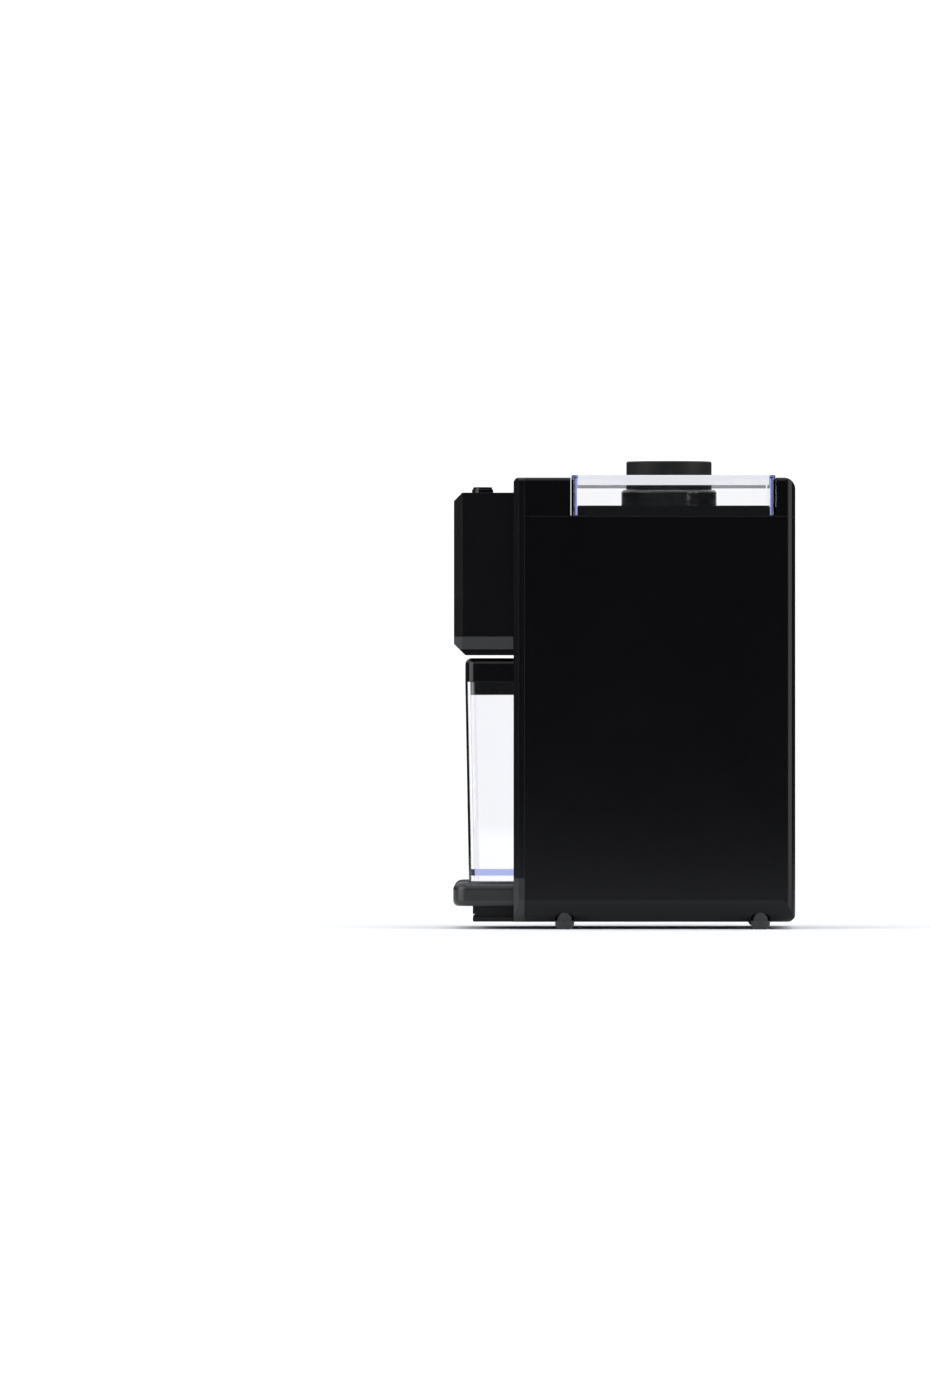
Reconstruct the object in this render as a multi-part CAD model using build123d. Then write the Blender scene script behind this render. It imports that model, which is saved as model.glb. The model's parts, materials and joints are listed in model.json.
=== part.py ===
from build123d import *
import math
import os

# Burr coffee grinder: a boxy case with a clear hopper lid, a head that holds the start button, and a
# clear coffee container that slides out of a bay in the front.
# Millimetres. +Z is up, the front faces -Y, X runs across the width. The origin is on the table,
# under the middle of the overall box.

# ---- Driving dimensions: case ----
body_width = 130.0
body_depth = 155.1
tray_reach = 33.3          # the tray's front ahead of the body's front
head_reach = 32.9          # the head's front ahead of the body's front
foot_lift = 4.0            # underside of the base above the table
base_height = 15.8
cover_height = 21.4
bezel_depth = 6.0
wall = 2.5
base_floor = 3.0
rear_round = 6.5
base_side_round = 12.0
base_rear_round = 4.5
top_side_round = 2.0
bezel_chamfer = 2.8
bezel_top_round = 3.0
seam_lip = 1.6             # tongues that register one case part in the next
seam_gap = 0.2
past = 1.0                 # cutting shapes run past the faces that they cut by this much
post_socket_wall = 2.0
post_socket_depth = 12.0   # the posts' feet below the base's top
post_socket_drop = 6.0     # the sockets' tops below the base's top
foot_boss_wall = 2.5
foot_recess = 0.6          # the feet's flares sit this deep in the base
base_boss_rise = 12.0      # the lower screws' blocks reach this far above the base
deck_boss_length = 21.0
deck_ledge = 4.0           # thickness of the blocks that the top cover's screws pass through
mouth_half_width = 30.0    # half the opening from the head into the body
mouth_sill = 20.0
mouth_drop = 18.0

# ---- Driving dimensions: tray, bay and container ----
tray_rise = 22.1           # the tray's top above the base's underside
tray_thick = 13.4
tray_side_margin = 6.0
tray_top_round = 4.5
tray_bottom_round = 3.0
tray_corner_round = 9.0
cheek_height = 24.0
plinth_front_step = 10.8
plinth_side_step = 12.0
bay_side_margin = 12.5     # the bay's inner wall inside the body's side
liner_wall = 2.2
container_depth = 74.0
container_front_inset = 6.6   # the container's top front edge behind the tray's front
container_height = 109.8
container_wall = 2.4
container_taper = 2.0      # the walls draw in by this much towards the floor
container_floor = 3.6
container_foot_rim = 3.0
container_round = 7.0
container_side_gap = 2.5
container_back_gap = 4.0
container_lid_height = 13.1
container_lid_wall = 2.2
container_lid_round = 3.6
container_skirt_depth = 7.2
container_skirt_gap = 0.3
container_skirt_draft = 0.2
inlet_flare = 3.0
inlet_r = 13.0
inlet_margin = 5.0
tray_rib = 4.0             # the tray's wall is this much thicker at its sides
tray_front_wall = 7.0
plinth_bevel = 0.4
plinth_groove = 1.2
plinth_foot = 2.6
plinth_groove_height = 1.6
bay_headroom = 1.8
rest_gap = 0.3             # a lifting or sliding piece stands this far off what carries it

# ---- Driving dimensions: head and controls ----
head_side_margin = 9.0
head_top_drop = 8.2
head_chamfer = 4.6
head_taper_height = 6.8    # the lower band of the head leans inwards
head_taper_side = 3.4
head_rim = 3.1             # the upright rim below that band
head_front_cut = 6.0       # the head's lower front edge is chamfered by this much
head_screw_margin = 9.0
head_screw_inset = 13.0    # the head's screws above and below its edges
button_setback = 15.6      # the button's axis behind the head's front
button_r = 5.9
button_tier_r = 5.3
button_rise = 3.8
button_tier = 1.3
button_flange = 1.8
button_travel = 2.2
button_spring_room = 9.6   # between the button's flange and its guide
button_edge = 1.7          # the flange beyond the button's side
button_gap = 0.3
button_bevel = 0.35
stem_r = 2.5
stem_length = 13.8
running_gap = 0.05         # radial clearance of every running fit
interlock_x = 20.0
interlock_travel = 2.0
interlock_boss = 5.0       # the pin's guide behind the bay's rear wall
interlock_collar = 1.7
interlock_reach = 10.0     # the pin's rear end behind the bay
actuator = (4.0, 3.0, 1.5) # a microswitch's plunger: long, thick, proud
bracket_foot = 12.0
bracket_sheet = 2.0
spring_wire_r = 0.35
spring_r = 4.2
spring_turns = 6
guide_thick = 2.5
guide_half_width = 12.0
guide_half_depth = 6.0
dial_r = 17.0
dial_recess = 7.0
dial_recess_gap = 2.0
dial_thick = 3.2
dial_grip = 3.4
dial_grip_width = 6.0
dial_drop = 44.0           # the dial's axis below the head's top
dial_ring_width = 2.4
dial_ring_thick = 0.8
dial_shaft_r = 3.0
dial_bevel = 0.6
dial_grip_inset = 1.5
dial_grip_round = 2.0
board_thick = 1.6
board_half_width = 34.0
board_height = 62.0
board_setback = 22.2       # the board's front face behind the head's front
board_drop = 6.0           # the board's middle below the dial's axis
board_hole_inset = 4.0
board_standoff_r = 3.2
relay = (15.0, 7.0, 18.0)
transformer = (15.0, 9.0, 16.0)
capacitor_r = 4.0
capacitor_length = 10.0
part_inset = 8.0           # the large parts inside the board's edges
part_rise = 10.0
pot_r = 8.0
pot_depth = 6.5
pot_neck_r = 5.0
pot_neck = 2.5
pot_floor = 1.2

# ---- Driving dimensions: hopper ----
lid_front_setback = 31.9   # the clear lid's front behind the body's front
lid_rear_margin = 11.0
lid_rise = 1.4             # the clear lid's top above the body's top
lid_wall = 2.2
lid_end_wall = 3.0
lid_round = 2.5
lid_notch_gap = 0.5
lid_edge_round = 0.8
lid_catch_inset = 17.0     # the catches on the lid's side walls from its ends
lid_catch = (0.7, 2.4, 3.0)   # proud, long, high
lid_collar_depth = 3.4
lid_collar_wall = 1.8
rim_height = 5.5
rim_gap = 1.1
rim_end_gap = 0.3
basin_wall = 2.0
basin_flange = 1.3
basin_round = 3.0
basin_inner_round = 1.5
funnel_wall = 3.0
bell_play = 0.4            # the bell turns in the basin's hole with this radial gap
funnel_depth = 17.0
funnel_side_margin = 8.0
lip_thick = 5.2
skirt_gap = 0.5            # the basin's skirt outside the chamber's wall
skirt_thick = 2.0
skirt_depth = 7.8
deck_rise = 0.5
deck_thick = 2.5
deck_hole_gap = 3.0

# ---- Driving dimensions: grind adjuster and burrs ----
axis_setback = 86.0        # the burr axis behind the body's front
knob_r = 23.65
knob_height = 15.7
knob_round = 1.0
knob_mark = (1.6, 7.0, 0.6)   # wide, long, deep
knob_mark_inset = 2.0
knob_hole_depth = 9.0
knob_hole_gap = 0.9
bell_r = 26.5
bell_wall = 2.5
bell_top = 3.0
bell_rise = 15.0           # the bell's shoulder above the deck
bell_flange_reach = 3.0    # the bell's flange beyond the chamber's bore
bell_flange = 2.8
bell_gap = 0.3
bell_round = 2.0
flute_count = 6
flute_depth = 1.6
flute_sill = 1.0
flute_top_width = 8.0
flute_foot_width = 3.0
window_width = 14.0
window_height = 13.0
window_sill = 1.0
burr_r = 25.0
burr_thick = 7.0
burr_gap = 0.5             # between the burr faces at the finest setting
burr_teeth = 24
tooth_depth = 1.2
tooth_width = 1.9
tooth_lean = 38
tooth_sweep = 14
tooth_offset = 3.2
screw_sink = 0.6           # the burr screws' heads below the burrs' faces
burr_tap_depth = 4.0
upper_burr_bore = 12.5
burr_screw_inset = 6.0     # the burr screws' circle inside the burrs' rim
carrier_thick = 5.0
carrier_gap = 0.4
carrier_collar_height = 9.0
collar_wall = 2.45
key_width = 6.0
key_reach = 2.6
impeller_thick = 4.4
impeller_gap = 2.0         # the impeller inside the chamber's bore
impeller_lift = 1.5        # the impeller above the chamber's floor
impeller_boss = 0.9
paddle_count = 4
paddle_thick = 2.4
paddle_height = 4.0
paddle_inset = 0.8
chamber_margin = 6.0       # the chamber's bore outside the burrs
chamber_wall = 5.0
chamber_floor = 4.0
chamber_height = 31.4
chute_drop = 18.7
outlet_half_width = 10.0
outlet_cut = 5.0           # the outlet is cut this far into the chamber's bore
chamber_screw_inset = 7.0
chamber_tap_depth = 3.4
outlet_height = 14.0
duct_wall = 2.0
neck_reach = 4.0
chute_run = 8.0            # the chute's level start
chute_drop_height = 14.0   # the upright part over the bay's roof

# ---- Driving dimensions: drive ----
gear_module = 1.0
gear_teeth = 60
pinion_teeth = 12
gear_thick = 10.0
gear_hub_wall = 5.0
gear_hub_rise = 1.2
gear_rim = 5.0
gear_recess = 3.0
pinion_extra = 0.5
shaft_overhang = 4.0       # the drive shaft's end below the bracket
shaft_thread = 5.0
addendum = 0.8
dedendum = 1.15
tooth_share = 0.36         # tooth thickness over pitch, at the pitch circle
flank_run = 0.32           # how much each flank leans between root and tip
gear_room = 18.0           # between the bracket and the chassis plate
chassis_thick = 4.0
bracket_thick = 3.0
drive_shaft_r = 4.0
bush_wall = 2.5
seal_wall = 2.5
shaft_step = 1.0           # the shaft's threaded end is this much thinner
nut_wall = 2.2
nut_height = 4.0
nut_room = 1.8             # the lower burr's bore outside the nut
clip_wall = 2.4
clip_groove = 0.8
clip_thick = 1.0
post_r = 3.5
post_side_margin = 17.0
post_setback = 10.0        # the front posts ahead of the burr axis
post_rear_reach = 14.0     # the rear posts behind the motor's axis
plate_margin = 6.0
pillar_gap = 8.0           # the pillars outside the gear's pitch circle
pillar_rear_x = 28.0
bracket_reach = 18.0
bracket_rear_reach = 20.0
tapped_depth = 10.0        # the screw holes in the posts and pillars
motor_r = 27.0
motor_can_wall = 1.4
motor_can_top = 2.0
motor_boss_r = 9.0
motor_screw_x = 15.0
motor_floor = 3.0
bearing_length = 5.0
bearing_proud = 0.5
vent_length = 10.0
vent_width = 8.0
vent_inset = 5.0           # the motor's vents inside its side
holder_wall = 1.5
commutator_reach = 1.0
shaft_proud = 1.5
hub_r = 6.0
fan_plate = 1.5
blade_thick = 1.6
slot_mouth = 1.2
slot_body = 2.8
slot_floor_r = 8.0
winding_round = 2.4
motor_can_length = 65.0
motor_cap_length = 12.0
motor_shaft_r = 2.5
motor_bearing_r = 6.0
armature_length = 36.0
armature_slots = 12
winding_length = 7.0
magnet_thick = 7.6
air_gap = 0.7              # between the magnets and the armature
brush_width = 6.0
brush_inset = 10.0         # the brushes' outer ends inside the motor's side
commutator_r = 7.0
fan_r = 22.0
fan_length = 9.0
fan_blades = 9
fan_gap = 2.0

# ---- Driving dimensions: fasteners, feet, cord inlet ----
screw_r = 1.5
screw_head_r = 3.0
screw_head = 2.0
screw_clear = 0.2
case_screw_length = 15.0
burr_screw_length = 8.0
small_screw_length = 7.0
boss_r = 4.2
deck_boss_margin = 11.0    # the top cover's screws inside the body's side
deck_boss_inset = 3.5
base_boss_gap = 2.0
base_boss_margin = 10.0    # the rear lower screws ahead of the body's rear
foot_r = 3.95
foot_flare_r = 5.25
foot_tip_r = 2.3
foot_top = 10.7
foot_side_margin = 6.0
foot_front_setback = 28.1  # the front feet behind the body's front
foot_rear_margin = 19.2
foot_flare_height = 2.0
foot_bulge = 0.9           # the rounded tip is this much slimmer at its middle height
inlet_bore_r = 3.1         # the cord passes through this bore
gland_setback = 5.0        # the gland's seat inside the shell's wall
gland_post_gap = 10.0      # the gland's axis inwards of the rear post's
gland_r = 4.6
gland_flange_r = 6.0
gland_flange = 1.6
slot_width = 3.0
slot_count = 7
microswitch = (20.0, 6.4, 10.2)

# ---- Places worked out from the driving dimensions ----
side_x = body_width / 2
rear_y = (body_depth + tray_reach) / 2
front_y = rear_y - body_depth
tray_front_y = front_y - tray_reach
head_front_y = front_y - head_reach
bezel_back_y = front_y + bezel_depth
axis_y = front_y + axis_setback
motor_y = axis_y + gear_module * (gear_teeth + pinion_teeth) / 2
lid_front_y = front_y + lid_front_setback
lid_rear_y = rear_y - lid_rear_margin

base_top = foot_lift + base_height
tray_top = foot_lift + tray_rise
container_base = tray_top + rest_gap
container_top = container_base + container_height
container_lid_top = container_top + container_lid_height
bay_roof = container_lid_top + bay_headroom
liner_top = bay_roof + liner_wall
chamber_bottom = liner_top + chute_drop
chamber_rim = chamber_bottom + chamber_height
bell_bottom = chamber_rim + bell_gap
lip_bottom = bell_bottom + bell_flange + bell_gap
funnel_bottom = lip_bottom + lip_thick
funnel_top = funnel_bottom + funnel_depth
deck_top = funnel_top - basin_flange
shell_top = deck_top - deck_rise
body_top = shell_top + cover_height
rim_top = deck_top + rim_height
lid_top = body_top + lid_rise
bell_shoulder = deck_top + bell_rise
head_top = body_top - head_top_drop

bay_x = side_x - bay_side_margin
container_x = bay_x - container_side_gap
container_front_y = tray_front_y + container_front_inset
container_back_y = container_front_y + container_depth
bay_back_y = container_back_y + container_back_gap
chamber_r = burr_r + chamber_margin
chamber_outer_r = chamber_r + chamber_wall
neck_front_y = axis_y - chamber_outer_r - neck_reach
inlet_y = min(
    container_back_y - inlet_r - 2 * container_lid_wall - inlet_margin,
    neck_front_y - outlet_half_width - duct_wall,
)
head_x = side_x - head_side_margin
button_y = head_front_y + button_setback
dial_z = head_top - dial_drop
board_y = head_front_y + board_setback
basin_x = side_x - lid_wall - rim_gap
basin_front_y = lid_front_y + lid_end_wall + rim_end_gap
basin_rear_y = lid_rear_y - lid_end_wall - rim_end_gap
funnel_r = min(side_x - funnel_side_margin, axis_y - basin_front_y - basin_wall)
cup_floor = chamber_bottom + chamber_floor
lip_r = chamber_outer_r + skirt_gap + skirt_thick

bush_r = drive_shaft_r + bush_wall
seal_r = bush_r + seal_wall
gear_hub_r = drive_shaft_r + gear_hub_wall
thread_r = drive_shaft_r - shaft_step
nut_r = thread_r + nut_wall
lower_burr_bore = nut_r + nut_room
burr_screw_pcr = burr_r - burr_screw_inset
impeller_r = chamber_r - impeller_gap
bell_flange_r = chamber_r + bell_flange_reach

impeller_bottom = cup_floor + impeller_lift
impeller_top = impeller_bottom + impeller_thick
lower_burr_top = impeller_top + burr_thick
upper_burr_bottom = lower_burr_top + burr_gap
carrier_bottom = upper_burr_bottom + burr_thick
carrier_top = carrier_bottom + carrier_thick
collar_r = bell_r - bell_wall - running_gap
collar_top = carrier_top + carrier_collar_height
carrier_throat_r = collar_r - collar_wall

chassis_bottom = chamber_bottom - chassis_thick
bracket_top = chassis_bottom - gear_room
bracket_bottom = bracket_top - bracket_thick
gear_bottom = bracket_top + (gear_room - gear_thick) / 2
motor_can_bottom = bracket_bottom - motor_can_length
motor_cap_bottom = motor_can_bottom - motor_cap_length
magnet_inner_r = motor_r - motor_can_wall - magnet_thick
armature_r = magnet_inner_r - air_gap
armature_bottom = motor_can_bottom + (motor_can_length - armature_length) / 2
fan_bottom = motor_cap_bottom - fan_length - fan_gap
fan_top = fan_bottom + fan_length

post_x = side_x - post_side_margin
deck_boss_x = side_x - deck_boss_margin
deck_boss_ys = (lid_front_y + deck_boss_inset, lid_rear_y - deck_boss_inset)
base_boss_x = side_x - base_side_round - base_boss_gap
base_boss_ys = (bay_back_y + liner_wall + boss_r + base_boss_gap, rear_y - base_boss_margin)
post_ys = (
    max(axis_y - post_setback, base_boss_ys[0] + boss_r + post_r + post_socket_wall + past),
    motor_y + post_rear_reach,
)
pillar_x = max(gear_module * gear_teeth / 2 + pillar_gap, chamber_outer_r + screw_head_r + screw_clear)
pillar_spread = boss_r + post_r + past   # from a pillar's centre to a post's
pillar_shift = math.sqrt(max(0.0, pillar_spread**2 - (post_x - pillar_x) ** 2))
bracket_front_y = max(axis_y - bracket_reach, bay_back_y + liner_wall + past)


# ---- Helpers ----
def span(x, y, z):
    """A box between two values on each axis."""
    middle = Pos(sum(x) / 2, sum(y) / 2, sum(z) / 2)
    return middle * Box(x[1] - x[0], y[1] - y[0], z[1] - z[0])


def disc(radius, z, x=0.0, y=axis_y):
    """An upright cylinder between two heights."""
    return Pos(x, y, sum(z) / 2) * Cylinder(radius, z[1] - z[0])


def ring(outer, inner, z, x=0.0, y=axis_y):
    return disc(outer, z, x, y) - disc(inner, z, x, y)


def rod_y(radius, y, x, z):
    """A cylinder that lies along Y."""
    return Pos(x, sum(y) / 2, z) * Rot(90, 0, 0) * Cylinder(radius, y[1] - y[0])


def cone_frustum(lower_r, upper_r, z, x=0.0, y=axis_y):
    return Pos(x, y, sum(z) / 2) * Cone(lower_r, upper_r, z[1] - z[0])


def around(shape, count, x=0.0, y=axis_y, start=0.0):
    """Copies of a shape turned about an upright axis."""
    turned = Part()
    for step in range(count):
        turned += Pos(x, y, 0) * Rot(0, 0, start + step * 360 / count) * Pos(-x, -y, 0) * shape
    return turned


def group(solids):
    """Separate identical solids in one node."""
    return Compound([solid for shape in solids for solid in shape.solids()])


def screw(x, y, seat, length, direction):
    """A pan-head screw: its head sits against z = seat and its shank runs along direction."""
    head = disc(screw_head_r, sorted((seat, seat - direction * screw_head)), x, y)
    shank = disc(screw_r, sorted((seat, seat + direction * length)), x, y)
    return head + shank


def screw_y(x, z, seat, length, direction):
    """The same screw along Y."""
    head = rod_y(screw_head_r, sorted((seat, seat - direction * screw_head)), x, z)
    shank = rod_y(screw_r, sorted((seat, seat + direction * length)), x, z)
    return head + shank


def save(node, shape):
    export_step(shape, f"parts/{node}.step")


# ---- Case ----
def body_form(inset, front):
    """The rounded outer form of the body behind its front face, drawn in by inset."""
    depth = rear_y - inset - front
    width = 2 * (side_x - inset)
    bottom = foot_lift + (base_floor if inset else 0.0)
    height = body_top - inset - bottom
    mid_y, mid_z = front + depth / 2, bottom + height / 2

    plan = Pos(0, mid_y) * Rectangle(width, depth)
    plan = fillet(plan.vertices().group_by(Axis.Y)[-1], rear_round - inset)

    side = Pos(mid_y, mid_z) * Rectangle(depth, height)
    rear_corners = side.vertices().group_by(Axis.X)[-1]
    side = fillet(rear_corners.sort_by(Axis.Y)[-1:], rear_round - inset)
    rear_corners = side.vertices().group_by(Axis.X)[-1]
    side = fillet(rear_corners.sort_by(Axis.Y)[:1], base_rear_round - inset)

    face = Pos(0, mid_z) * Rectangle(width, height)
    face = fillet(face.vertices().group_by(Axis.Y)[0], base_side_round - inset)
    if not inset:
        face = fillet(face.vertices().group_by(Axis.Y)[-1], top_side_round)

    upright = Pos(0, 0, bottom) * extrude(plan, height)
    across = extrude(Plane.YZ * side, side_x, both=True)
    along = extrude(Plane.XZ * face, -(rear_y + body_depth), both=True)
    return upright & across & along


def outer_slice(z):
    everything = span((-side_x, side_x), (bezel_back_y, rear_y), z)
    return outer_form & everything


def hollow_slice(z):
    everything = span((-side_x, side_x), (bezel_back_y, rear_y), z)
    return (outer_form - inner_form) & everything


def rim_ring(inset, z):
    """An upright band along the body's sides and rear, open at the front."""
    depth = rear_y - inset - bezel_back_y
    plan = Pos(0, bezel_back_y + depth / 2) * Rectangle(2 * (side_x - inset), depth)
    plan = fillet(plan.vertices().group_by(Axis.Y)[-1], rear_round - inset)
    inner = span((2 * wall - side_x, side_x - 2 * wall), (bezel_back_y - 1, rear_y - 2 * wall), z)
    return Pos(0, 0, z[0]) * extrude(plan, z[1] - z[0]) - inner


def base_plate():
    base = hollow_slice((foot_lift, base_top))
    base += rim_ring(wall / 2, (base_top - wall, base_top))
    base += rim_ring(wall + seam_gap, (base_top, base_top + seam_lip))
    front_x = side_x - base_side_round
    base += span((-front_x, front_x), (bezel_back_y, bezel_back_y + wall), (foot_lift + wall, base_top))
    for x in (-base_boss_x, base_boss_x):
        for y in base_boss_ys:
            base += disc(boss_r, (foot_lift + wall, base_top), x, y)
            base -= disc(screw_r + screw_clear, (0, base_top), x, y)
            base -= disc(screw_head_r + screw_clear, (0, foot_lift + base_floor), x, y)
    for x in (-post_x, post_x):
        for y in post_ys:
            base += disc(post_r + post_socket_wall, (foot_lift + wall, base_top - post_socket_drop), x, y)
            base -= disc(post_r, (base_top - post_socket_depth, base_top), x, y)
    for x, y in foot_places():
        base += disc(foot_r + foot_boss_wall, (foot_lift, foot_top + wall), x, y) & outer_form
        base -= disc(foot_r, (0, foot_top), x, y)
        base -= disc(foot_flare_r, (0, foot_lift + foot_recess), x, y)
    vent_y = (motor_y - fan_r, motor_y + fan_r / 2)
    for x in slot_row():
        base -= span((x - slot_width / 2, x + slot_width / 2), vent_y, (0, base_top))
    seat = rear_y - wall - gland_setback
    gland_wall = rod_y(gland_flange_r + wall, (seat, rear_y - wall), gland_x(), gland_z())
    base += gland_wall & outer_slice((foot_lift, base_top))
    return base - rod_y(gland_r, (seat - past, rear_y + past), gland_x(), gland_z())


def slot_row():
    """Where the air slots sit across the width."""
    return [(step - (slot_count - 1) / 2) * slot_width * 2 for step in range(slot_count)]


def foot_places():
    x = side_x - foot_side_margin
    ys = (front_y + foot_front_setback, rear_y - foot_rear_margin)
    return [(sx, y) for sx in (-x, x) for y in ys]


def rubber_feet():
    """Feet with a plug in the base, a flare that meets it and a rounded tip."""
    neck = foot_lift + foot_recess
    flare = neck - foot_flare_height
    waist = (foot_flare_r - foot_bulge, flare * foot_tip_r / (foot_tip_r + foot_r))
    with BuildPart() as foot:
        with BuildSketch(Plane.XZ):
            with BuildLine():
                Polyline((foot_flare_r, flare), (foot_flare_r, neck), (foot_r, neck), (foot_r, foot_top))
                Polyline((foot_r, foot_top), (0, foot_top), (0, 0), (foot_tip_r, 0))
                ThreePointArc((foot_tip_r, 0), waist, (foot_flare_r, flare))
            make_face()
        revolve(axis=Axis.Z)
    return group([Pos(x, y, 0) * foot.part for x, y in foot_places()])


def gland_x():
    return gland_post_gap - post_x


def gland_z():
    return foot_lift + base_floor + gland_flange_r + seam_gap


def cord_gland():
    """The rubber bush in the base's rear wall that the mains cord comes in through."""
    seat = rear_y - wall - gland_setback
    sleeve = rod_y(gland_r, (seat, rear_y), gland_x(), gland_z())
    lip = rod_y(gland_flange_r, (seat - gland_flange, seat), gland_x(), gland_z())
    bore = rod_y(inlet_bore_r, (seat - gland_flange - past, rear_y + past), gland_x(), gland_z())
    return sleeve + lip - bore


def side_shell():
    shell = hollow_slice((base_top, shell_top))
    deck_z = deck_ledge_levels()
    base_z = (base_top + seam_lip + seam_gap, base_top + base_boss_rise)
    for sign in (-1, 1):
        outside = sign * (side_x - wall / 2)
        for y in deck_boss_ys:
            x = sorted((sign * (deck_boss_x - boss_r), outside))
            shell += span(x, (y - boss_r, y + boss_r), deck_z)
            shell -= disc(screw_r + screw_clear, deck_z, sign * deck_boss_x, y)
        for y in base_boss_ys:
            x = sorted((sign * (base_boss_x - boss_r), outside))
            shell += span(x, (y - boss_r, y + boss_r), base_z)
            shell -= disc(screw_r, base_z, sign * base_boss_x, y)
    vent_x = max(slot_row()) + slot_width
    for step in range(slot_count):
        z = motor_cap_bottom + step * slot_width * 2
        shell -= span((-vent_x, vent_x), (rear_y - 2 * wall, rear_y + past), (z, z + slot_width))
    return shell


def deck_ledge_levels():
    """Bottom and top of the blocks that the top cover's bosses stand on."""
    top = deck_top - deck_boss_length
    return top - deck_ledge, top


def top_cover():
    notch_front, notch_rear = lid_front_y - lid_notch_gap, lid_rear_y + lid_notch_gap
    across, levels = (-side_x, side_x), (shell_top, body_top)
    cover = outer_slice(levels)
    cover -= inner_form & span(across, (bezel_back_y - past, notch_front - wall), levels)
    cover -= inner_form & span(across, (notch_rear + wall, rear_y), levels)
    cover -= span((-side_x - past, side_x + past), (notch_front, notch_rear), (deck_top, body_top + past))
    under_x = side_x - wall - seam_gap
    under_y = (notch_front - wall, notch_rear + wall)
    cover += span((-under_x, under_x), under_y, (deck_top - deck_thick, shell_top))
    cover -= disc(funnel_r + deck_hole_gap, (0, deck_top))
    boss_bottom = deck_ledge_levels()[1]
    for x in (-deck_boss_x, deck_boss_x):
        for y in deck_boss_ys:
            cover += disc(boss_r, (boss_bottom, deck_top - deck_thick), x, y)
            cover -= disc(screw_r, (boss_bottom, deck_top - 2 * deck_thick), x, y)
    return cover


def front_slab(face):
    """A slab at the body's front with the outline of face and chamfered upright front edges."""
    plan = Pos(0, (front_y + bezel_back_y) / 2) * Rectangle(body_width, bezel_depth)
    plan = chamfer(plan.vertices().group_by(Axis.Y)[0], bezel_chamfer)
    return extrude(plan, body_top) & (Pos(0, bezel_back_y, 0) * extrude(Plane.XZ * face, bezel_depth))


def front_bezel():
    bottom = foot_lift + cheek_height
    middle_z, height = (bottom + body_top) / 2, body_top - bottom
    face = Pos(0, middle_z) * Rectangle(body_width, height)
    face = fillet(face.vertices().group_by(Axis.Y)[-1], top_side_round)
    side = Pos((front_y + bezel_back_y) / 2, middle_z) * Rectangle(bezel_depth, height)
    side = fillet(side.vertices().group_by(Axis.Y)[-1].sort_by(Axis.X)[:1], bezel_top_round)
    plate = front_slab(face) & extrude(Plane.YZ * side, side_x, both=True)
    through = (front_y - past, bezel_back_y + past)
    plate -= span((-bay_x, bay_x), through, (0, bay_roof))
    mouth_x = (-mouth_half_width, mouth_half_width)
    plate -= span(mouth_x, through, (bay_roof + mouth_sill, head_top - mouth_drop))
    lip_x = side_x - wall - seam_gap
    lip_y = (bezel_back_y, bezel_back_y + seam_lip)
    lip_z = (liner_top + 2 * liner_wall, shell_top - deck_thick - 2 * seam_lip)
    inner_x = side_x - 3 * wall
    lip = inner_form & span((-lip_x, lip_x), lip_y, lip_z)
    plate += lip - span((-inner_x, inner_x), lip_y, lip_z)
    for x, z in head_screw_places():
        plate -= rod_y(screw_r + screw_clear, through, x, z)
    return plate


def bay_liner():
    """The recess that the container stands in, with the hole that the ground coffee falls through."""
    outer_x = bay_x + liner_wall
    outer_y = (bezel_back_y, bay_back_y + liner_wall)
    liner = span((-outer_x, outer_x), outer_y, (tray_top - liner_wall, liner_top))
    liner -= span((-bay_x, bay_x), (bezel_back_y - past, bay_back_y), (tray_top, bay_roof))
    hole_y = (inlet_y - outlet_half_width, inlet_y + outlet_half_width)
    liner -= span((-outlet_half_width, outlet_half_width), hole_y, (bay_roof - past, liner_top + past))
    pin_x, pin_z = pin_place()
    liner += rod_y(boss_r, (bay_back_y, pin_boss_back()), pin_x, pin_z)
    return liner - rod_y(stem_r + running_gap, (bay_back_y - past, pin_boss_back() + past), pin_x, pin_z)


# ---- Tray ----
def tray():
    """The shelf that the container rests on, with the cheeks that close the body's lower front."""
    shelf_x = side_x - tray_side_margin
    bottom = tray_top - tray_thick
    plan = Pos(0, (tray_front_y + front_y) / 2) * Rectangle(2 * shelf_x, tray_reach)
    plan = fillet(plan.vertices().group_by(Axis.Y)[0], tray_corner_round)
    shelf = Pos(0, 0, bottom) * extrude(plan, tray_thick)
    shelf = fillet(shelf.faces().sort_by(Axis.Z)[-1].edges().sort_by(Axis.Y)[:-1], tray_top_round)
    shelf = fillet(shelf.faces().sort_by(Axis.Z)[0].edges().sort_by(Axis.Y)[:-1], tray_bottom_round)
    inner_x = shelf_x - wall - tray_rib
    hollow_y = (tray_front_y + tray_front_wall, front_y)
    shelf -= span((-inner_x, inner_x), hollow_y, (bottom - past, tray_top - wall))
    face = Pos(0, foot_lift + cheek_height / 2) * Rectangle(body_width, cheek_height)
    face = fillet(face.vertices().group_by(Axis.Y)[0], base_side_round)
    cheek = front_slab(face)
    cheek -= span((-bay_x, bay_x), (front_y - past, bezel_back_y + past), (tray_top, body_top))
    return shelf + cheek


def tray_plinth():
    """The stepped pad under the tray: an upper block, a groove and a foot with a bevelled edge."""
    plinth_x = side_x - tray_side_margin - plinth_side_step
    bevel_top = foot_lift + plinth_bevel
    groove_bottom = foot_lift + plinth_foot
    groove_top = groove_bottom + plinth_groove_height
    steps = (
        (plinth_bevel, foot_lift, bevel_top),
        (0.0, bevel_top, groove_bottom),
        (plinth_groove, groove_bottom, groove_top),
        (0.0, groove_top, tray_top - tray_thick),
    )
    plinth = Part()
    for inset, low, high in steps:
        x = plinth_x - inset
        plinth += span((-x, x), (tray_front_y + plinth_front_step + inset, front_y), (low, high))
    return plinth


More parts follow.
